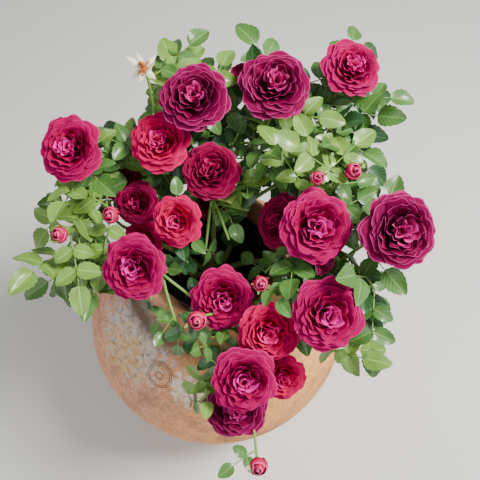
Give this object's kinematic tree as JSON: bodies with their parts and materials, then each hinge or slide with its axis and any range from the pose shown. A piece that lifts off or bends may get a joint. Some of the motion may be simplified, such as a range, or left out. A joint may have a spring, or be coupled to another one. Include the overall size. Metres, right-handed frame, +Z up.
{
  "type": "potted rose bush",
  "caption": "Rose bush in full bloom, with arching green canes, compound leaves and crimson to purple double blooms, growing from a wide-bellied terracotta jar with a narrow neck.",
  "frame": {"origin": "middle of the jar's flat underside", "axes": "+Z up along the jar's axis; the front is -Y, the side that the picture looks from; +X is the picture's right"},
  "size_m": [0.6159, 0.6688, 0.9194],
  "materials": {
    "terracotta": "weathered unglazed clay with grey and ochre lichen patches, darker in the groove under the neck",
    "earth": "dark crumbly potting soil with small clods",
    "bark": "rough grey-brown graft knob",
    "cane": "smooth green cane with a few brown thorns",
    "leaf": "glossy green serrated leaflets with velvety crimson, magenta and purple petals on the blooms"
  },
  "bodies": {
    "root": {"jar": "terracotta", "soil": "earth", "stem_base": "bark", "cane_back": "cane", "cane_rear": "cane", "cane_back_left": "cane", "cane_left": "cane", "cane_front_left": "cane", "cane_front": "cane", "cane_front_right": "cane", "cane_right": "cane", "cane_centre": "cane", "bough_back_right": "cane", "bough_rear_right": "cane", "bough_low_left": "cane", "bough_mid_left": "cane", "bough_front_low": "cane", "bough_right": "cane", "foliage_left": "leaf", "foliage_mid_left": "leaf", "foliage_low_left": "leaf", "foliage_back_left": "leaf", "foliage_back": "leaf", "foliage_back_right": "leaf", "foliage_centre": "leaf", "foliage_right": "leaf", "foliage_far_right": "leaf", "foliage_front_right": "leaf", "foliage_front": "leaf", "foliage_front_low": "leaf", "foliage_front_left": "leaf", "foliage_rear_left": "leaf", "foliage_rear_right": "leaf"}
  },
  "joints": []
}
